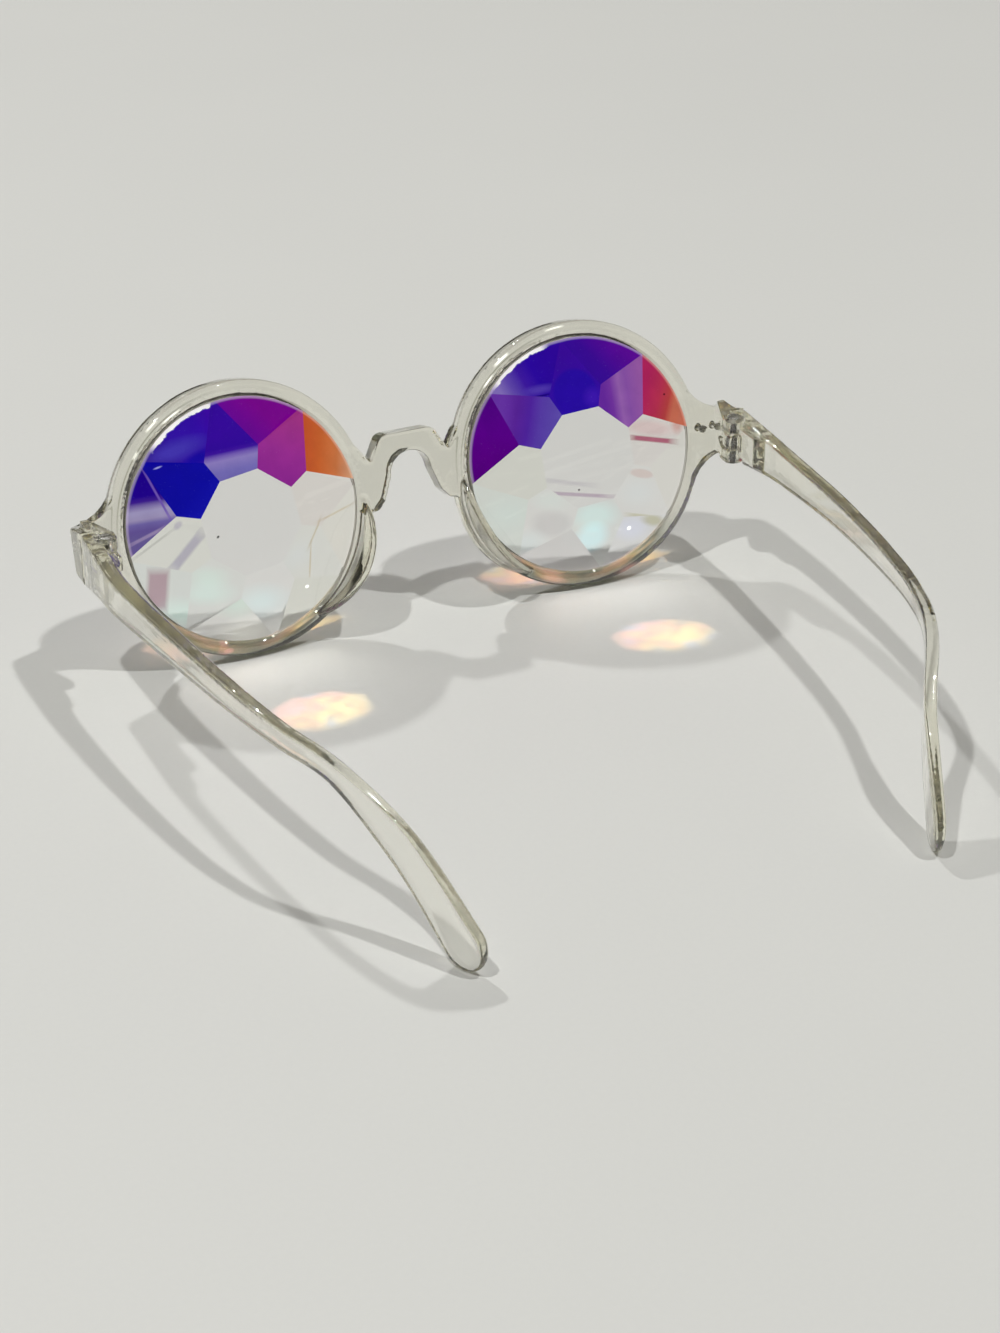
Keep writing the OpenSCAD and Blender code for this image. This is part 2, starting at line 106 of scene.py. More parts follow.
class FastenerSizes(bpy.types.PropertyGroup):
    hinge: FloatVectorProperty(name="Hinge", description="Foot of the right hinge's axis, under its knuckles",
                               default=(66.1674 * MM, 49.7812 * MM, 23.6304 * MM), subtype="TRANSLATION")
    stack: FloatProperty(name="Stack", description="Height of the knuckles", default=9.7 * MM, unit="LENGTH")
    core: FloatProperty(name="Core", description="Radius of the screw under its thread",
                        default=0.58 * MM, unit="LENGTH")
    crest: FloatProperty(name="Crest", description="Radius of the thread's crest",
                         default=0.79 * MM, unit="LENGTH")
    thread_pitch: FloatProperty(name="Thread pitch", description="Rise of the thread in one turn",
                                default=0.8 * MM, unit="LENGTH")
    thread_steps: IntProperty(name="Thread steps", description="Steps in one turn of the thread", default=24)
    head: FloatProperty(name="Head", description="Radius of the screw's head",
                        default=1.3 * MM, unit="LENGTH")
    head_height: FloatProperty(name="Head height", description="Height of the screw's head",
                               default=1 * MM, unit="LENGTH")
    slot: FloatProperty(name="Slot", description="Width of the driver slot", default=0.4 * MM, unit="LENGTH")
    ease: FloatProperty(name="Ease", description="Width of the eased edges",
                        default=0.12 * MM, unit="LENGTH")
    sides: IntProperty(name="Sides", description="Number of sides of the screw's head and core", default=48)


class PlasticLook(bpy.types.PropertyGroup):
    tint: FloatVectorProperty(name="Tint", description="Colour of the clear plastic's surface",
                              default=(0.975, 0.975, 0.96), subtype="COLOR")
    depth_colour: FloatVectorProperty(name="Depth colour", description="Colour that thick plastic takes",
                                      default=(0.86, 0.8, 0.34), subtype="COLOR")
    depth_density: FloatProperty(name="Depth density", default=34.0,
                                 description="How fast the plastic takes its depth colour")
    ripple: FloatProperty(name="Ripple", description="Height of the ripples in the moulded surface",
                          default=0.035 * MM, unit="LENGTH")


class StageLook(bpy.types.PropertyGroup):
    floor: FloatVectorProperty(name="Floor", description="Colour of the pale floor",
                               default=(0.67, 0.672, 0.642), subtype="COLOR")
    lamps: FloatProperty(name="Lamps", description="Power of the right lamp, which the others follow",
                         default=22.5, unit="POWER")
    lamp_size: FloatProperty(name="Lamp size", description="Width of each lamp", default=0.08, unit="LENGTH")
    lamp_distance: FloatProperty(name="Lamp distance", description="Distance of each lamp from the glasses",
                                 default=2.5, unit="LENGTH")
    fill: FloatProperty(name="Fill", description="Strength of the room's light", default=0.62)
    floor_width: FloatProperty(name="Floor width", description="Width of the square floor",
                               default=12.0, unit="LENGTH")
    bounces: IntProperty(name="Bounces", description="How often light may turn inside the clear plastic",
                         default=32)


# Small helpers for selecting and finishing

def only(obj):
    bpy.ops.object.select_all(action="DESELECT")
    obj.select_set(True)
    bpy.context.view_layer.objects.active = obj


def settle(obj):
    """Puts the object's place into its mesh."""
    only(obj)
    bpy.ops.object.transform_apply(location=True, rotation=True, scale=True)


def apply_modifier(obj, kind, **values):
    only(obj)
    modifier = obj.modifiers.new(kind.lower(), kind)
    for key, value in values.items():
        setattr(modifier, key, value)
    bpy.ops.object.modifier_apply(modifier=modifier.name)


def ease_edges(obj, width):
    apply_modifier(obj, "BEVEL", width=width, segments=3, limit_method="ANGLE")


def copy_of(node, name):
    """A merged copy of a CAD node's mesh, as a new object."""
    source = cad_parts[node]
    obj = bpy.data.objects.new(name, source.data.copy())
    bpy.context.scene.collection.objects.link(obj)
    obj.data.materials.clear()
    only(obj)
    bpy.ops.object.mode_set(mode="EDIT")
    bpy.ops.mesh.select_all(action="SELECT")
    bpy.ops.mesh.remove_doubles(threshold=1e-6)
    bpy.ops.object.mode_set(mode="OBJECT")
    return obj


# Nodes of materials and of the room

class Nodes:
    """Adds nodes to a material or a world and links them."""

    def __init__(self, owner):
        owner.use_nodes = True
        self.nodes = owner.node_tree.nodes
        self.links = owner.node_tree.links
        self.nodes.clear()

    def link(self, start, end):
        self.links.new(start, end)

    def add(self, kind, **values):
        node = self.nodes.new(kind)
        for key, value in values.items():
            setattr(node, key, value)
        return node

    def feed(self, socket, value):
        """Links a socket to another, or sets its number or colour."""
        if isinstance(value, bpy.types.NodeSocket):
            self.link(value, socket)
        elif socket.type == "RGBA":
            socket.default_value = (*value, 1)
        else:
            socket.default_value = value

    def math(self, operation, a, b=0.0, clamp=False):
        node = self.add("ShaderNodeMath", operation=operation, use_clamp=clamp)
        self.feed(node.inputs[0], a)
        self.feed(node.inputs[1], b)
        return node.outputs[0]

    def length(self, a, b):
        """Length of a vector with the parts a and b."""
        return self.math("SQRT", self.math("ADD", self.math("MULTIPLY", a, a), self.math("MULTIPLY", b, b)))

    def parts(self, vector):
        """Sockets for X, Y and Z of a vector."""
        node = self.add("ShaderNodeSeparateXYZ")
        self.link(vector, node.inputs[0])
        return node.outputs

    def place(self, origin=(0, 0, 0), turn=(0, 0, 0), scale=(1, 1, 1)):
        """Object coordinates seen from a frame at origin, turned by turn."""
        coords = self.add("ShaderNodeTexCoord")
        mapping = self.add("ShaderNodeMapping", vector_type="TEXTURE")
        mapping.inputs["Location"].default_value = origin
        mapping.inputs["Rotation"].default_value = turn
        mapping.inputs["Scale"].default_value = scale
        self.link(coords.outputs["Object"], mapping.inputs["Vector"])
        return mapping.outputs["Vector"]

    def noise(self, size, detail, vector=None):
        node = self.add("ShaderNodeTexNoise")
        node.inputs["Scale"].default_value = 1 / size
        node.inputs["Detail"].default_value = detail
        self.link(vector or self.add("ShaderNodeTexCoord").outputs["Object"], node.inputs["Vector"])
        return node.outputs["Fac"]

    def ramp(self, factor, stops):
        node = self.add("ShaderNodeValToRGB")
        elements = node.color_ramp.elements
        while len(elements) < len(stops):
            elements.new(0.5)
        for element, (position, colour) in zip(elements, stops):
            element.position = position
            element.color = (*colour, 1)
        self.link(factor, node.inputs["Fac"])
        return node.outputs["Color"]

    def blend(self, factor, a, b, mode="MIX"):
        node = self.add("ShaderNodeMix", data_type="RGBA", blend_type=mode)
        self.feed(node.inputs["Factor"], factor)
        self.feed(node.inputs["A"], a)
        self.feed(node.inputs["B"], b)
        return node.outputs["Result"]


class Surface(Nodes):
    """Nodes of a new material, round its main shader."""

    def __init__(self, name):
        self.material = bpy.data.materials.new(name)
        super().__init__(self.material)
        self.output = self.add("ShaderNodeOutputMaterial")
        self.shader = self.add("ShaderNodeBsdfPrincipled")
        self.link(self.shader.outputs["BSDF"], self.output.inputs["Surface"])

    def put(self, **values):
        """Sets or links the shader's own sockets, each by its name in small letters."""
        for key, value in values.items():
            self.feed(self.shader.inputs[key.replace("_", " ").title().replace("Ior", "IOR")], value)

    def bump(self, height, distance):
        node = self.add("ShaderNodeBump")
        node.inputs["Distance"].default_value = distance
        self.link(height, node.inputs["Height"])
        self.put(normal=node.outputs["Normal"])


def greys(*stops):
    """Stops of a ramp between greys, each given by its position and its tone."""
    return [(position, (tone, tone, tone)) for position, tone in stops]


def linear(red, green, blue):
    """A screen colour, 0 to 255, as linear light."""
    def one(value):
        share = value / 255
        return share / 12.92 if share <= 0.04045 else ((share + 0.055) / 1.055) ** 2.4
    return (one(red), one(green), one(blue))


# Clear moulded plastic

def clear_plastic(name, marks=(), draw=1):
    """Clear plastic that browns with depth.

    Marks are painted light and shade on the rims: a side, whether it glows, and a mark on that side's rim.
    Draw is how many times longer than wide the ripples run, front to back.
    """
    look = bpy.context.scene.plastic_look
    tree = Surface(name)
    colour, light = look.tint, (0, 0, 0)
    # Glowing marks add painted glints and painted reflections; the others multiply painted shade into the
    # colour
    for side, glows, (*spot, tone) in marks:
        cover = mark(tree, side, *spot)
        if glows:
            light = tree.blend(cover, light, tone, "ADD")
        else:
            colour = tree.blend(cover, colour, tone, "MULTIPLY")
    tree.put(base_color=colour, transmission_weight=1.0, ior=IOR_ACRYLIC, coat_weight=1.0,
             coat_roughness=0.045)
    if marks:
        tree.put(emission_color=light, emission_strength=1.0)
    wear = tree.noise(6 * MM, detail=4)
    tree.put(roughness=tree.ramp(wear, greys((0.35, 0.01), (0.8, 0.05))))
    along = tree.place(scale=(1, draw, 1))
    wide, narrow = tree.noise(5 * MM, 1, along), tree.noise(1.4 * MM, 1, along)
    tree.bump(tree.math("ADD", wide, tree.math("MULTIPLY", narrow, 0.6)), look.ripple)
    depth = tree.add("ShaderNodeVolumeAbsorption")
    tree.feed(depth.inputs["Color"], look.depth_colour)
    tree.feed(depth.inputs["Density"], look.depth_density)
    tree.link(depth.outputs["Volume"], tree.output.inputs["Volume"])
    return tree.material


# Steel of the screws and pins

def steel(name, dark, bright):
    """Steel whose turned surface runs between two greys."""
    tree = Surface(name)
    grain = tree.noise(0.5 * MM, detail=5)
    tree.put(base_color=tree.ramp(grain, [(0.3, dark), (0.75, bright)]), metallic=1.0)
    tree.put(roughness=tree.ramp(grain, greys((0.3, 0.2), (0.8, 0.42))))
    tree.bump(grain, 0.01 * MM)
    return tree.material


# Cut glass and its coatings. Places on a lens are across and up from its centre, in millimetres: across grows
# towards the wearer's right. Angles are degrees, from across to up.

def lens_place(side):
    """Matrix of a lens's own frame: X across, Y out of the flat face, Z up."""
    sizes = bpy.context.scene.front_sizes
    front = Matrix.Translation(Vector(sizes.place)) @ Matrix.Rotation(-sizes.lean, 4, "X")
    return (front @ Matrix.Translation((side * sizes.lens_pitch / 2, 0, 0))
            @ Matrix.Rotation(-side * sizes.turn, 4, "Z"))


def lens_coordinates(tree, side, at=(0, 0), angle=0.0):
    """Sockets for millimetres along and across a line through a spot on the lens."""
    place = lens_place(side) @ Matrix.Translation((at[0] * MM, 0, at[1] * MM))
    place = place @ Matrix.Rotation(-math.radians(angle), 4, "Y")
    parts = tree.parts(tree.place(place.to_translation(), place.to_euler(), (MM, MM, MM)))
    return parts["X"], parts["Z"]


def mark(tree, side, kind, at, size, angle, soft):
    """How much a mark, given by its half sizes, covers a point: 1 inside, fading at its edge.

    A bar or a cloud lies at a spot. An arc or a jag, which is a ragged arc, lies at a distance and an angle
    from the centre.
    """
    if kind in ("arc", "jag"):
        along, across = lens_coordinates(tree, side, (0, 0), at[1])
        far = tree.length(along, across)
        along = tree.math("MULTIPLY", tree.math("ARCTAN2", across, along), at[0])
        across = tree.math("SUBTRACT", far, at[0])
    else:
        along, across = lens_coordinates(tree, side, at, angle)
    share = tree.math("ABSOLUTE", tree.math("DIVIDE", along, size[0]))
    other = tree.math("ABSOLUTE", tree.math("DIVIDE", across, size[1]))
    if kind == "jag":
        rough = tree.math("SUBTRACT", tree.noise(1.1 * MM, detail=3), 0.5)
        other = tree.math("ADD", other, tree.math("MULTIPLY", rough, 1.5))
    far = tree.length(share, other) if kind == "cloud" else tree.math("MAXIMUM", share, other)
    return tree.math("DIVIDE", tree.math("SUBTRACT", 1.0 + soft / 2, far), soft, clamp=True)


def film(side, name, at, angle, span, stops, marks=(), edge=(222, 205, 226)):
    """Coated facet: its colour runs through stops along a line over span, with marks laid over it."""
    tree = Surface(name)
    along, _ = lens_coordinates(tree, side, at, angle)
    share = tree.math("ADD", tree.math("DIVIDE", along, span), 0.5, clamp=True)
    colour = tree.ramp(share, [(position, linear(*tone)) for position, tone in stops])
    for *spot, tone in marks:
        colour = tree.blend(mark(tree, side, *spot), colour, linear(*tone))
    # The colour pales in a narrow fringe before the rim
    far = tree.length(*lens_coordinates(tree, side))
    fringe = tree.math("DIVIDE", tree.math("SUBTRACT", far, FRINGE_START), FRINGE_WIDTH, clamp=True)
    colour = tree.blend(tree.math("MULTIPLY", fringe, FRINGE_SHARE), colour, linear(*edge))
    cloud = tree.ramp(tree.noise(3.5 * MM, detail=3), [(0.3, (0.88, 0.88, 0.92)), (0.72, (1, 1, 1))])
    colour = tree.blend(1.0, colour, cloud, "MULTIPLY")
    dust = tree.ramp(tree.noise(0.22 * MM, detail=1), [(0.74, (0, 0, 0)), (0.8, (0.06, 0.06, 0.07))])
    colour = tree.blend(1.0, colour, dust, "ADD")
    # The facets glow with their own colour: painted light for what the coating mirrors and lets through
    tree.put(base_color=colour, roughness=0.06, ior=IOR_GLASS, specular_ior_level=0.12, emission_color=colour,
             emission_strength=bpy.context.scene.lens_look.glow)
    return tree.material


def split_light(tree, side, stops):
    """Colour of the light that the table lets through: a wandering run of colours, fading to its corners."""
    look = bpy.context.scene.lens_look
    along, _ = lens_coordinates(tree, side, angle=SPLIT_ANGLE)
    wander = tree.math("MULTIPLY", tree.noise(5 * MM, detail=3), 1.5)
    share = tree.math("ADD", tree.math("DIVIDE", along, SPLIT_SPAN), tree.math("SUBTRACT", wander, 0.25),
                      clamp=True)
    # The way from the floor to a lamp behind the wearer meets the table from inside the glass
    inside = tree.add("ShaderNodeNewGeometry").outputs["Backfacing"]
    gain = tree.blend(inside, (look.split_outer,) * 3, (look.split_inner,) * 3)
    split = tree.blend(1.0, tree.ramp(share, stops), gain, "MULTIPLY")
    cover = mark(tree, side, "cloud", (0, 0), (SPLIT_REACH, SPLIT_REACH), 0, 0.8)
    patchy = tree.ramp(tree.noise(3.2 * MM, detail=3), greys((0.34, 0.3), (0.5, 1)))
    return tree.blend(tree.math("MULTIPLY", cover, patchy), UNSPLIT, split)


def clear_facet(side, name, shade=(1, 1, 1), shades=(), glows=(), passes=None):
    """Uncoated or thinly coated glass: shades take from the light that comes through, glows add painted light
    to it.

    Passes is the light let through to the floor, as one colour or as the stops of split light.
    """
    tree = Surface(name)
    # A tint is counted once on the way into the glass and once on the way out
    colour = [value ** 2 for value in shade]
    # Shades are painted reflections of other facets and parts seen in the glass, and specks of dust
    for *spot, tone in shades:
        colour = tree.blend(mark(tree, side, *spot), colour, [value ** 2 for value in tone], "MULTIPLY")
    tree.put(base_color=colour, transmission_weight=1.0, ior=IOR_GLASS, roughness=0.0)
    # Glows are painted light: coloured light from the coating, light seen through the lens, and painted
    # glints
    if glows:
        light = (0, 0, 0)
        for *spot, tone in glows:
            light = tree.blend(mark(tree, side, *spot), light, tone, "ADD")
        tree.put(emission_color=light, emission_strength=1.0)
    if passes:
        # Light for the floor goes straight through
        straight = tree.add("ShaderNodeBsdfTransparent")
        through = passes if isinstance(passes, tuple) else split_light(tree, side, passes)
        tree.feed(straight.inputs["Color"], through)
        mix = tree.add("ShaderNodeMixShader")
        tree.link(tree.add("ShaderNodeLightPath").outputs["Is Shadow Ray"], mix.inputs["Fac"])
        tree.link(tree.shader.outputs["BSDF"], mix.inputs[1])
        tree.link(straight.outputs["BSDF"], mix.inputs[2])
        tree.link(mix.outputs["Shader"], tree.output.inputs["Surface"])
    return tree.material


def ground_edge(name):
    """Ground edge of the cut glass, which scatters what it meets."""
    tree = Surface(name)
    grain = tree.noise(0.25 * MM, detail=3)
    tree.put(base_color=tree.ramp(grain, [(0.3, (0.36, 0.35, 0.3)), (0.7, (0.62, 0.61, 0.56))]),
             roughness=0.6, ior=IOR_GLASS)
    tree.bump(grain, 0.02 * MM)
    return tree.material


# Pale fringe of the coated facets: where it starts and its width, in millimetres, and the share of its colour
FRINGE_START, FRINGE_WIDTH, FRINGE_SHARE = 23.25, 0.3, 0.35

# The facets by number, counted round from the wearer's right: even ones are the outer break facets, odd ones
# the main facets along the sides of the table. A mark is its kind, place, half sizes, angle, softness and
# tone. Coated facets have screen colours, clear ones shares of the light.
LEFT_FILMS = {
    2: dict(at=(17.5, 8.5), angle=-15, span=13, edge=(236, 205, 190),
            stops=[(0, (190, 76, 42)), (0.4, (197, 98, 48)), (0.72, (199, 116, 68)), (1, (206, 152, 116))]),
    3: dict(at=(9, 12), angle=60, span=14,
            stops=[(0, (134, 33, 140)), (0.5, (149, 43, 143)), (1, (158, 50, 130))]),
    4: dict(at=(4, 19), angle=38, span=16,
            stops=[(0, (72, 2, 153)), (0.3, (98, 1, 144)), (0.65, (115, 0, 134)), (1, (116, 0, 134))]),
    5: dict(at=(-2, 13), angle=92, span=8,
            stops=[(0, (108, 100, 172)), (0.2, (113, 105, 177)), (0.46, (136, 122, 185)),
                   (0.57, (108, 84, 172)), (0.65, (58, 14, 152)), (0.75, (46, 0, 150)), (1, (50, 0, 152))]),
    6: dict(at=(-10, 18), angle=25, span=16,
            stops=[(0, (40, 5, 122)), (0.35, (48, 16, 160)), (0.7, (48, 8, 160)), (1, (62, 4, 158))],
            marks=[("cloud", (-12.6, 15.8), (5, 1.5), 12, 1.2, (64, 50, 170)),
                   ("cloud", (-8.6, 13.8), (2.6, 1.0), 20, 1.0, (20, 4, 156)),
                   # The white jag is a painted highlight where the lens's bevel catches the light
                   ("jag", (23.9, 116), (7.4, 0.75), 0, 0.3, (252, 252, 246))]),
    7: dict(at=(-11.5, 8), angle=-50, span=12,
            stops=[(0, (6, 1, 152)), (0.6, (4, 2, 158)), (1, (13, 13, 170))],
            marks=[("cloud", (-16.2, 13.3), (0.75, 0.16), 12, 0.8, (150, 150, 215))]),
    8: dict(at=(-20, 5.5), angle=92, span=18,
            stops=[(0, (96, 80, 144)), (0.2, (104, 92, 150)), (0.3, (100, 84, 150)), (0.37, (112, 100, 165)),
                   (0.42, (158, 148, 186)), (0.5, (162, 154, 194)), (0.56, (122, 106, 168)),
                   (0.6, (66, 34, 146)), (0.66, (34, 4, 144)), (1, (30, 1, 138))],
            marks=[("bar", (-20.2, 0.7), (3.6, 0.3), 21, 0.9, (150, 134, 174)),
                   ("bar", (-17.35, 8.65), (5.3, 0.2), -71, 0.9, (112, 84, 178))]),
}
# A fine brown line, a painted reflection of the nose pad's edge, that runs from the nose side down the left
# lens, in three pieces
LINE = [("bar", (18.4, -1.9), (3.9, 0.2), 10, 0.9, (0.9, 0.83, 0.7)),
        ("bar", (12.9, -4.8), (2.9, 0.2), 58, 0.9, (0.88, 0.8, 0.66)),
        ("bar", (11.5, -10.2), (3.1, 0.17), 83, 0.9, (0.88, 0.78, 0.62))]
# On the clear facets, shades are painted reflections and glows are painted light and painted glints; the
# small dark dot on the left table is dust
LEFT_CLEAR = {
    0: dict(shade=(0.99, 0.98, 0.93), shades=LINE[:1]),
    1: dict(shade=(1.0, 0.965, 0.94), shades=LINE[:2]),
    9: dict(shade=(0.99, 1.0, 0.96),
            shades=[("bar", (-13.4, -3.4), (4.5, 0.85), 45, 0.7, (0.66, 0.63, 0.78)),
                    ("cloud", (-14.4, 2.0), (0.9, 0.6), 40, 0.8, (0.78, 0.75, 0.88)),
                    ("bar", (-19.2, -0.9), (4.0, 0.22), 30, 0.9, (0.8, 0.8, 0.8))]),
    10: dict(shade=(0.96, 1.0, 0.99),
             shades=[("bar", (-19.4, -10.2), (4.1, 1.9), 83, 0.5, (0.69, 0.49, 0.57))],
             glows=[("cloud", (-15.4, -15.3), (3.4, 2.2), -20, 1.2, (0.01, 0.09, 0.065))]),
    11: dict(shade=(0.98, 1.0, 0.99),
             glows=[("cloud", (-9.8, -9.0), (3.2, 1.6), -15, 1.2, (0.0, 0.07, 0.045)),
                    ("cloud", (-10.2, -12.2), (4.2, 1.9), -10, 1.2, (0.01, 0.09, 0.07))]),
    12: dict(shade=(0.93, 0.93, 0.92),
             glows=[("cloud", (-2.5, -21.6), (5.0, 2.4), 0, 1.2, (0.17, 0.17, 0.145)),
                    ("cloud", (-4.6, -15.2), (3.4, 2.4), -20, 1.2, (0.01, 0.09, 0.055))]),
    13: dict(glows=[("cloud", (0.5, -16.0), (4.5, 2.5), -10, 1.4, (0.0, 0.08, 0.09)),
                    ("cloud", (3.5, -21.4), (4.5, 2.0), 5, 1.2, (0.13, 0.135, 0.125))]),
    14: dict(shade=(0.94, 0.95, 0.9),
             glows=[("cloud", (10.5, -15.2), (0.35, 0.3), 0, 0.8, (1.0, 1.0, 0.98))]),
    15: dict(shade=(0.97, 0.98, 0.95), shades=LINE[1:],
             glows=[("cloud", (8.5, -8.5), (3.5, 2.2), 20, 1.4, (0.0, 0.012, 0.03))]),
}
LEFT_TABLE = dict(shades=[("cloud", (-7.1, -1.5), (0.32, 0.22), 40, 0.5, (0.12, 0.12, 0.12)), LINE[1]])
RIGHT_FILMS = {
    2: dict(at=(18.5, 10), angle=-28, span=8, edge=(240, 190, 176),
            stops=[(0, (172, 36, 90)), (0.5, (180, 50, 80)), (0.8, (182, 66, 66)), (1, (198, 108, 84))],
            marks=[("cloud", (19.3, 9.3), (0.22, 0.2), 0, 0.6, (60, 10, 24))]),
    3: dict(at=(9.5, 11), angle=0, span=9,
            stops=[(0, (100, 38, 155)), (0.2, (112, 50, 157)), (0.42, (143, 92, 168)), (0.62, (133, 79, 163)),
                   (1, (146, 86, 160))]),
    4: dict(at=(7, 19), angle=35, span=14,
            stops=[(0, (44, 2, 145)), (0.35, (54, 1, 144)), (0.7, (80, 0, 143)), (1, (94, 2, 145))]),
    5: dict(at=(-1, 15), angle=80, span=12, stops=[(0, (40, 4, 160)), (0.6, (50, 2, 154)), (1, (54, 1, 150))],
            marks=[("cloud", (-0.9, 13.2), (4.6, 4.6), 0, 0.16, (35, 1, 157)),
                   ("cloud", (2.6, 11.8), (1.6, 1.6), 0, 1.2, (57, 16, 170))]),
    6: dict(at=(-9, 17.5), angle=20, span=14,
            stops=[(0, (122, 103, 176)), (0.16, (92, 68, 165)), (0.35, (58, 22, 154)), (0.55, (40, 3, 154)),
                   (1, (44, 2, 149))],
            marks=[("cloud", (-8.2, 14.9), (2.8, 0.7), 3, 1.2, (76, 52, 166)),
                   ("bar", (-7.9, 13.7), (1.5, 0.14), 2, 0.9, (22, 0, 112)),
                   # The white jag is a painted highlight where the lens's bevel catches the light
                   ("jag", (23.9, 119), (6.6, 0.7), 0, 0.3, (252, 252, 246))]),
    7: dict(at=(-11.5, 8), angle=-18, span=11,
            stops=[(0, (98, 48, 160)), (0.25, (86, 32, 150)), (0.48, (76, 31, 155)), (0.68, (83, 56, 162)),
                   (1, (90, 72, 168))]),
    8: dict(at=(-20.5, 5.5), angle=80, span=16,
            stops=[(0, (80, 0, 120)), (0.35, (86, 0, 128)), (0.65, (88, 0, 136)), (1, (78, 1, 128))]),
}
# The crimson stripe is a painted reflection seen inside the glass; on the clear facets, shades are painted
# reflections and glows are painted light and painted glints
STRIPE = ("bar", (14.8, 1.0), (5.7, 0.52), -16, 0.6, (0.62, 0.2, 0.31))
RIGHT_CLEAR = {
    0: dict(shade=(0.99, 0.98, 0.95), shades=[STRIPE]),
    1: dict(shade=(1.0, 0.97, 0.96),
            shades=[STRIPE, ("cloud", (14.6, 3.4), (5.8, 1.5), -16, 0.8, (0.99, 0.83, 0.85)),
                    ("cloud", (21.4, 3.0), (1.3, 1.8), 0, 1.0, (0.92, 0.62, 0.58))]),
    9: dict(shade=(0.99, 1.0, 0.95)),
    10: dict(shade=(0.95, 1.0, 0.97), glows=[("cloud", (-17, -9), (4, 3), 0, 1.4, (0.0, 0.03, 0.03))]),
    11: dict(shades=[("cloud", (-8.6, -12.4), (4.0, 2.6), -15, 0.6, (0.9, 0.89, 0.9))],
             glows=[("cloud", (-8.8, -7.4), (3.2, 1.6), -15, 1.2, (0.0, 0.035, 0.025)),
                    ("cloud", (-13.8, -15.5), (3.0, 2.0), 0, 1.2, (0.0, 0.04, 0.045))]),
    12: dict(shade=(0.9, 0.89, 0.9)),
    13: dict(shade=(0.97, 1.0, 1.0),
             glows=[("cloud", (0.6, -12.2), (4.2, 2.6), -10, 0.9, (0.0, 0.1, 0.095)),
                    ("cloud", (-0.2, -16.6), (3.2, 2.6), 0, 0.8, (0.0, 0.15, 0.18))]),
    14: dict(shade=(0.97, 0.98, 1.0),
             shades=[("cloud", (14.0, -15.9), (2.6, 1.1), -20, 0.8, (0.8, 0.78, 0.6))],
             glows=[("cloud", (9.0, -16.5), (3.6, 2.3), -15, 1.0, (0.02, 0.03, 0.1)),
                    ("cloud", (8.3, -16.4), (0.42, 0.36), 0, 0.8, (1.0, 1.0, 1.0))]),
    15: dict(shades=[("cloud", (11.6, -5.4), (2.9, 0.9), -19, 0.4, (0.94, 0.82, 0.8)),
                     ("bar", (11.4, -14.4), (3.6, 0.35), -17, 0.9, (0.8, 0.78, 0.62))],
             glows=[("cloud", (10.5, -9.2), (3.6, 2.4), -15, 1.3, (0.0, 0.02, 0.03))]),
}
# The plum bars on the right table are painted reflections
RIGHT_TABLE = dict(shades=[("bar", (-2.6, -7.2), (7.1, 0.36), -12.8, 0.7, (0.74, 0.63, 0.75)),
                           ("bar", (-4.9, -4.3), (5.0, 0.4), -15.7, 1.2, (0.87, 0.85, 0.89)),
                           ("cloud", (-2.6, -6.2), (0.25, 0.2), 0, 0.6, (0.2, 0.18, 0.2))])
# Light for the floor. The flat glass lets it through whole, and the table's coating splits it: the colours of
# SPLIT run over SPLIT_SPAN millimetres at SPLIT_ANGLE degrees, out to SPLIT_REACH from the table's middle.
WHOLE = (0.9, 0.9, 0.9)
UNSPLIT = (0.45, 0.45, 0.46)
SPLIT = [(0.08, (0.28, 0.36, 0.56)), (0.24, (0.88, 0.3, 0.22)), (0.42, (1.0, 0.42, 0.16)),
         (0.6, (1.0, 0.6, 0.14)), (0.8, (0.94, 0.72, 0.24)), (0.96, (0.36, 0.46, 0.66))]
SPLIT_ANGLE, SPLIT_SPAN, SPLIT_REACH = 60, 26, 8.8


def rim_painted_shade_and_glints(side, turn):
    """Painted shade and long painted glints that both rims have, those at the bottom turned by some degrees:
    dark painted contour lines and brown painted shade darken, warm painted glints glow.
    """
    return [
        (side, False, ("arc", (24.2, 78), (15, 0.22), 0, 0.9, (0.5, 0.46, 0.42))),
        (side, False, ("arc", (25.9, -98 + turn), (19, 1.7), 0, 0.7, (0.4, 0.42, 0.37))),
        (side, True, ("arc", (24.15, -92 + turn), (15, 0.2), 0, 0.9, (0.06, 0.06, 0.035))),
        (side, False, ("arc", (25.6, 142), (15, 0.14), 0, 0.9, (0.42, 0.42, 0.34))),
        (side, True, ("arc", (24.6, -67 + turn), (2.6, 0.22), 0, 0.9, (0.3, 0.22, 0.12))),
    ]


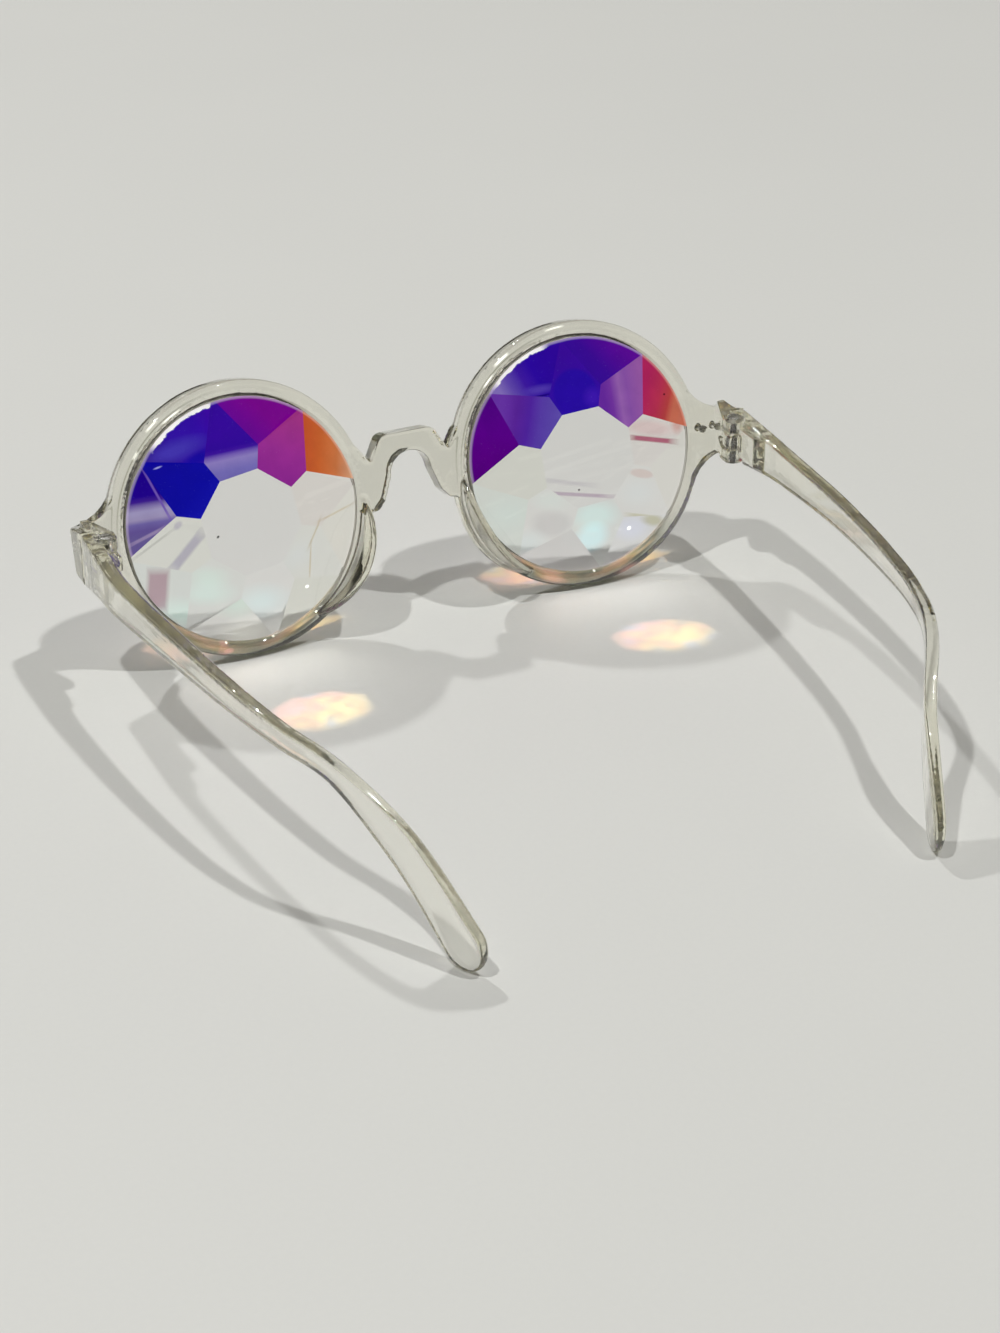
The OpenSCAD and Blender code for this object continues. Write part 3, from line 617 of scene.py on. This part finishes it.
# Painted light and shade on the rims: white painted glints and warm painted reflections of the lenses glow,
# painted shade and dark painted contour lines darken. Each is a side, whether the mark glows, and the mark in
# that lens's millimetres
RIM_PAINTED_LIGHT_AND_SHADE = rim_painted_shade_and_glints(-1, 0) + rim_painted_shade_and_glints(1, 6) + [
    (-1, True, ("arc", (25.2, 118), (1.9, 0.16), 0, 0.9, (0.75, 0.75, 0.7))),
    (-1, True, ("arc", (26.4, 127), (1.2, 0.16), 0, 0.9, (0.7, 0.7, 0.64))),
    (-1, True, ("arc", (25.6, 141), (0.7, 0.2), 0, 0.9, (0.6, 0.6, 0.55))),
    (1, True, ("arc", (26.2, 124), (1.5, 0.2), 0, 0.9, (0.95, 0.95, 0.9))),
    (1, True, ("arc", (25.3, 135), (1.3, 0.18), 0, 0.9, (0.8, 0.8, 0.76))),
    (1, True, ("arc", (26.3, 96), (1.6, 0.14), 0, 0.9, (0.7, 0.7, 0.64))),
    (-1, True, ("cloud", (-9.9, -23.3), (1.2, 0.4), -12, 1.0, (0.07, 0.04, 0.03))),
    (-1, True, ("cloud", (-6.6, -25.0), (0.9, 0.5), 0, 0.9, (0.26, 0.09, 0.1))),
    (-1, True, ("cloud", (-6.8, -23.3), (0.24, 0.24), 0, 0.6, (1.0, 1.0, 0.9))),
    (-1, True, ("cloud", (0.1, -23.5), (0.26, 0.24), 0, 0.6, (1.0, 1.0, 0.9))),
    (-1, True, ("cloud", (3.0, -24.0), (0.26, 0.24), 0, 0.6, (1.0, 0.95, 0.85))),
    (1, True, ("cloud", (-8.2, -24.4), (2.4, 0.6), -20, 1.0, (0.18, 0.08, 0.07))),
    (1, True, ("cloud", (8.3, -25.2), (2.0, 0.6), 18, 1.0, (0.16, 0.08, 0.07))),
    (1, True, ("cloud", (0.6, -24.3), (0.26, 0.24), 0, 0.6, (1.0, 1.0, 0.9))),
]


def build_lens(name, turn):
    """Turned glass blank with its edge tongue, cut by the planes of the facets."""
    front = bpy.context.scene.front_sizes
    sizes = bpy.context.scene.lens_sizes
    flat = front.rim_depth - sizes.face_set
    back = sizes.crown + sizes.tip_back
    bpy.ops.object.select_all(action="DESELECT")
    bpy.ops.mesh.primitive_cylinder_add(vertices=sizes.sides, radius=sizes.radius, depth=flat + back,
                                        location=(0, (flat - back) / 2, 0), rotation=(math.radians(90), 0, 0))
    obj = bpy.context.object
    obj.name = name
    settle(obj)
    bpy.ops.object.mode_set(mode="EDIT")
    middle = front.rim_depth / 2
    for y in (middle - sizes.tongue_width / 2, middle + sizes.tongue_width / 2):
        bpy.ops.mesh.select_all(action="SELECT")
        bpy.ops.mesh.bisect(plane_co=(0, y, 0), plane_no=(0, 1, 0))
    bpy.ops.object.mode_set(mode="OBJECT")
    for face in obj.data.polygons:
        face.select = abs(face.normal.y) < 0.5 and abs(face.center.y - middle) < sizes.tongue_width / 2
    for edge in obj.data.edges:
        edge.select = False
    for vertex in obj.data.vertices:
        vertex.select = False
    bpy.ops.object.mode_set(mode="EDIT")
    bpy.ops.mesh.select_mode(type="FACE")
    bpy.ops.mesh.extrude_region_shrink_fatten(TRANSFORM_OT_shrink_fatten={"value": sizes.tongue_reach})
    half = math.pi / sizes.facets
    # The planes are laid out to facet tips that lie just outside the round glass
    reach = sizes.radius + 0.15 * MM
    table_flat = sizes.table / 2 * math.cos(half)
    main_slope = math.atan(sizes.crown / (reach - table_flat))
    ring_flat = sizes.ring / 2 * math.cos(half)
    ring_back = sizes.tip_back + sizes.crown - (ring_flat - table_flat) * math.tan(main_slope)
    break_flat = reach * math.cos(half)
    break_slope = math.atan((ring_back - sizes.tip_back) / (break_flat - sizes.ring / 2))
    for k in range(2 * sizes.facets):
        angle = turn + k * half
        main = k % 2 == 1
        slope = main_slope if main else break_slope
        out = Vector((math.cos(angle), 0, math.sin(angle)))
        co = out * (reach if main else break_flat) + Vector((0, -sizes.tip_back, 0))
        no = out * math.sin(slope) + Vector((0, -math.cos(slope), 0))
        bpy.ops.mesh.select_mode(type="VERT")
        bpy.ops.mesh.select_all(action="SELECT")
        bpy.ops.mesh.bisect(plane_co=co, plane_no=no, use_fill=True, clear_outer=True)
    bpy.ops.object.mode_set(mode="OBJECT")
    return obj


def part_of(face, turn, count):
    """Part of the lens that a face lies on, told by its slope, and for a facet its number out of count."""
    back = -face.normal.y
    if abs(back) < 0.1:
        return "edge"
    if back < 0.2:
        return "flat"
    if back > 0.9995:
        return "table"
    angle = math.atan2(face.normal.z, face.normal.x) - turn
    return round(angle / math.tau * count) % count


class GLASSES_OT_lenses(bpy.types.Operator):
    """Cuts both lenses and coats their facets"""
    bl_idname = "glasses.lenses"
    bl_label = "Lenses"

    def execute(self, context):
        sizes = context.scene.lens_sizes
        count = 2 * sizes.facets
        for side, word, turn, films, clear, table in (
                (-1, "left", sizes.left_turn, LEFT_FILMS, LEFT_CLEAR, LEFT_TABLE),
                (1, "right", sizes.right_turn, RIGHT_FILMS, RIGHT_CLEAR, RIGHT_TABLE)):
            obj = build_lens(word + "_cut_lens", turn)
            looks = {"flat": clear_facet(side, word + "_glass", passes=WHOLE),
                     "table": clear_facet(side, word + "_table", passes=SPLIT, **table),
                     "edge": ground_edge(word + "_ground_edge")}
            for k in range(count):
                name = f"{word}_facet_{k}"
                coated = k in films
                looks[k] = film(side, name, **films[k]) if coated else clear_facet(side, name, **clear[k])
            for look in looks.values():
                obj.data.materials.append(look)
            parts = list(looks)
            for face in obj.data.polygons:
                face.material_index = parts.index(part_of(face, turn, count))
            obj.data.transform(lens_place(side))
            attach(obj, "front")
            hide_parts(word + "_lens")
        return {"FINISHED"}


def soft_moulding(node, name, body, look):
    """Copy of a moulded piece whose corners are eased, as they come out of a mould."""
    obj = copy_of(node, name)
    grain = bpy.context.scene.front_sizes.softness
    apply_modifier(obj, "REMESH", mode="VOXEL", voxel_size=grain, adaptivity=0.0, use_smooth_shade=True)
    apply_modifier(obj, "SMOOTH", factor=0.5, iterations=6)
    obj.data.materials.append(look)
    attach(obj, body)
    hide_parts(node)


class GLASSES_OT_front(bpy.types.Operator):
    """Moulds the front with softened edges"""
    bl_idname = "glasses.front"
    bl_label = "Front"

    def execute(self, context):
        look = clear_plastic("clear_front_plastic", RIM_PAINTED_LIGHT_AND_SHADE)
        soft_moulding("front_frame", "moulded_front", "front", look)
        return {"FINISHED"}


class GLASSES_OT_temples(bpy.types.Operator):
    """Moulds both temples with softened edges"""
    bl_idname = "glasses.temples"
    bl_label = "Temples"

    def execute(self, context):
        look = clear_plastic("clear_temple_plastic", draw=9)
        for word in ("left", "right"):
            soft_moulding(word + "_temple", word + "_moulded_temple", word + "_temple", look)
        return {"FINISHED"}


def eased_cylinder(sizes, radius, height, foot):
    """Upright cylinder with eased edges, its foot at the given height."""
    bpy.ops.object.select_all(action="DESELECT")
    bpy.ops.mesh.primitive_cylinder_add(vertices=sizes.sides, radius=radius, depth=height,
                                        location=(0, 0, foot + height / 2))
    obj = bpy.context.object
    settle(obj)
    ease_edges(obj, sizes.ease)
    return obj


def build_thread(sizes, height):
    """Closed ridge wound up a given height, from the origin."""
    ridge = 0.3 * sizes.thread_pitch
    bpy.ops.object.select_all(action="DESELECT")
    bpy.ops.mesh.primitive_circle_add(vertices=3, radius=ridge, location=(sizes.crest - ridge, 0, ridge),
                                      rotation=(math.radians(90), math.radians(90), 0))
    thread = bpy.context.object
    settle(thread)
    turns = int((height - 2 * ridge) / sizes.thread_pitch)
    apply_modifier(thread, "SCREW", axis="Z", screw_offset=sizes.thread_pitch, iterations=turns,
                   steps=sizes.thread_steps, render_steps=sizes.thread_steps)
    only(thread)
    bpy.ops.object.mode_set(mode="EDIT")
    bpy.ops.mesh.select_all(action="SELECT")
    bpy.ops.mesh.remove_doubles(threshold=1e-7)
    bpy.ops.mesh.fill_holes(sides=4)
    bpy.ops.mesh.select_all(action="SELECT")
    bpy.ops.mesh.normals_make_consistent(inside=False)
    bpy.ops.object.mode_set(mode="OBJECT")
    return thread


def build_screw(sizes, name, bright, black):
    """Slotted screw with a thread wound round its core, standing on its tip at the origin."""
    head_foot = sizes.stack - sizes.head_height
    head = eased_cylinder(sizes, sizes.head, sizes.head_height, head_foot)
    bpy.ops.object.select_all(action="DESELECT")
    bpy.ops.mesh.primitive_cube_add(size=1, location=(0, 0, sizes.stack),
                                    scale=(4 * sizes.head, sizes.slot, sizes.head_height))
    cutter = bpy.context.object
    settle(cutter)
    apply_modifier(head, "BOOLEAN", operation="DIFFERENCE", object=cutter, solver="EXACT")
    bpy.data.objects.remove(cutter)
    # The core ends inside the head, under its slot
    core = eased_cylinder(sizes, sizes.core, head_foot + sizes.head_height / 4, 0)
    thread = build_thread(sizes, head_foot)
    for obj, metal in ((head, bright), (core, black), (thread, black)):
        obj.data.materials.append(metal)
    only(core)
    head.select_set(True)
    thread.select_set(True)
    bpy.ops.object.join()
    core.name = name
    return core


class GLASSES_OT_fasteners(bpy.types.Operator):
    """Finishes the hinge screws and the lug pins"""
    bl_idname = "glasses.fasteners"
    bl_label = "Screws and pins"

    def execute(self, context):
        sizes = context.scene.fastener_sizes
        blackened = steel("blackened_steel", (0.035, 0.033, 0.03), (0.1, 0.095, 0.085))
        turned = steel("turned_steel", (0.5, 0.5, 0.47), (0.74, 0.73, 0.7))
        for side, word in ((-1, "left"), (1, "right")):
            screw = build_screw(sizes, word + "_threaded_screw", turned, blackened)
            x, y, z = sizes.hinge
            screw.data.transform(Matrix.Translation((side * x, y, z)))
            pins = copy_of(word + "_lug_pins", word + "_eased_pins")
            ease_edges(pins, sizes.ease)
            pins.data.materials.append(turned)
            for obj, node in ((screw, word + "_hinge_screw"), (pins, word + "_lug_pins")):
                only(obj)
                bpy.ops.object.shade_smooth_by_angle(angle=SMOOTH_ANGLE)
                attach(obj, "front")
                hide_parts(node)
        return {"FINISHED"}


# Stage

# Lamps: name, compass angle from the way the wearer looks towards the right, height angle, share of the power
LAMPS = [("right", 134, 66.5, 1.0), ("left", -112, 67, 0.97), ("front", -6, 45, 0.75)]
# The room's light from straight down to straight up: dark near the floor, which gives the clear plastic its
# contours, then pale walls and a darker ceiling
ROOM = [(0.0, (0.03, 0.03, 0.026)), (0.24, (0.06, 0.058, 0.05)), (0.34, (0.6, 0.57, 0.5)),
        (0.56, (0.6, 0.57, 0.5)), (0.68, (0.09, 0.09, 0.088)), (1.0, (0.05, 0.05, 0.05))]


class GLASSES_OT_stage(bpy.types.Operator):
    """Sets the floor, the lights and the camera"""
    bl_idname = "glasses.stage"
    bl_label = "Stage"

    def execute(self, context):
        look = context.scene.stage_look
        bpy.ops.object.select_all(action="DESELECT")
        bpy.ops.mesh.primitive_plane_add(size=look.floor_width, location=(0, 0, 0))
        floor = context.object
        floor.name = "floor"
        tree = Surface("pale_floor")
        fine, broad = tree.noise(1.1 * MM, detail=4), tree.noise(90 * MM, detail=2)
        cloud = tree.math("DIVIDE", tree.math("ADD", fine, broad), 2)
        shade = tree.ramp(cloud, greys((0.3, 0.975), (0.7, 1)))
        tree.put(base_color=tree.blend(1.0, look.floor, shade, "MULTIPLY"), roughness=0.6)
        tree.bump(tree.noise(0.9 * MM, detail=3), 0.012 * MM)
        floor.data.materials.append(tree.material)
        for name, compass, height, share in LAMPS:
            self.lamp(look, name, math.radians(compass), math.radians(height), look.lamps * share)
        self.world(context, look)
        self.camera(context)
        # Light runs far along the clear plastic before it gets out
        cycles = context.scene.cycles
        cycles.max_bounces = cycles.glossy_bounces = cycles.transmission_bounces = look.bounces
        return {"FINISHED"}

    def lamp(self, look, name, compass, height, power):
        place = look.lamp_distance * Vector((math.sin(compass) * math.cos(height),
                                             math.cos(compass) * math.cos(height), math.sin(height)))
        bpy.ops.object.light_add(type="AREA", location=place)
        lamp = bpy.context.object
        lamp.name = name + "_lamp"
        lamp.data.size = look.lamp_size
        lamp.data.energy = power
        lamp.rotation_euler = place.to_track_quat("Z", "Y").to_euler()

    def world(self, context, look):
        context.scene.world = bpy.data.worlds.new("room")
        tree = Nodes(context.scene.world)
        height = tree.parts(tree.add("ShaderNodeTexCoord").outputs["Generated"])["Z"]
        back = tree.add("ShaderNodeBackground")
        tree.feed(back.inputs["Color"], tree.ramp(height, ROOM))
        tree.feed(back.inputs["Strength"], look.fill)
        tree.link(back.outputs[0], tree.add("ShaderNodeOutputWorld").inputs["Surface"])

    def camera(self, context):
        """Sets up the camera as fitted to the photograph."""
        azimuth, elevation, roll = math.radians(-24.38), math.radians(27.72), math.radians(-0.44)
        focal_px, long_side_px = 2980, 1333
        target = Vector((-29.65, -46.4, 43.5)) * MM
        distance = 484 * MM
        back = Vector((math.sin(azimuth) * math.cos(elevation), -math.cos(azimuth) * math.cos(elevation),
                       math.sin(elevation)))
        right = Vector((math.cos(azimuth), math.sin(azimuth), 0))
        up = back.cross(right)
        right, up = (right * math.cos(roll) + up * math.sin(roll),
                     up * math.cos(roll) - right * math.sin(roll))
        data = bpy.data.cameras.new("camera")
        camera = bpy.data.objects.new("camera", data)
        context.scene.collection.objects.link(camera)
        data.sensor_fit = "AUTO"
        data.sensor_width = 36
        data.lens = focal_px * data.sensor_width / long_side_px
        data.clip_start = 0.01
        turn = Matrix((right, up, back)).transposed().to_4x4()
        camera.matrix_world = Matrix.Translation(target + back * distance) @ turn
        context.scene.camera = camera
        context.scene.view_settings.view_transform = "Standard"


class GLASSES_PT_panel(bpy.types.Panel):
    bl_label = "Glasses"
    bl_idname = "GLASSES_PT_panel"
    bl_space_type = "VIEW_3D"
    bl_region_type = "UI"
    bl_category = "Glasses"

    def draw(self, context):
        for group in GROUPS:
            box = self.layout.box()
            values = getattr(context.scene, group)
            for key in values.bl_rna.properties.keys():
                if key not in ("rna_type", "name"):
                    box.prop(values, key)
        for operator in OPERATORS:
            self.layout.operator(operator.bl_idname)


GROUPS = {"front_sizes": FrontSizes, "lens_sizes": LensSizes, "fastener_sizes": FastenerSizes,
          "lens_look": LensLook, "plastic_look": PlasticLook, "stage_look": StageLook}
OPERATORS = [GLASSES_OT_stage, GLASSES_OT_front, GLASSES_OT_temples, GLASSES_OT_lenses, GLASSES_OT_fasteners]


def register():
    for name, group in GROUPS.items():
        bpy.utils.register_class(group)
        setattr(bpy.types.Scene, name, PointerProperty(type=group))
    for item in [*OPERATORS, GLASSES_PT_panel]:
        bpy.utils.register_class(item)


def unregister():
    for item in reversed([*OPERATORS, GLASSES_PT_panel]):
        bpy.utils.unregister_class(item)
    for name, group in GROUPS.items():
        delattr(bpy.types.Scene, name)
        bpy.utils.unregister_class(group)


def main():
    register()
    bpy.ops.glasses.stage()
    bpy.ops.glasses.front()
    bpy.ops.glasses.temples()
    bpy.ops.glasses.lenses()
    bpy.ops.glasses.fasteners()
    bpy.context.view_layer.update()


if __name__ == "__main__":
    main()
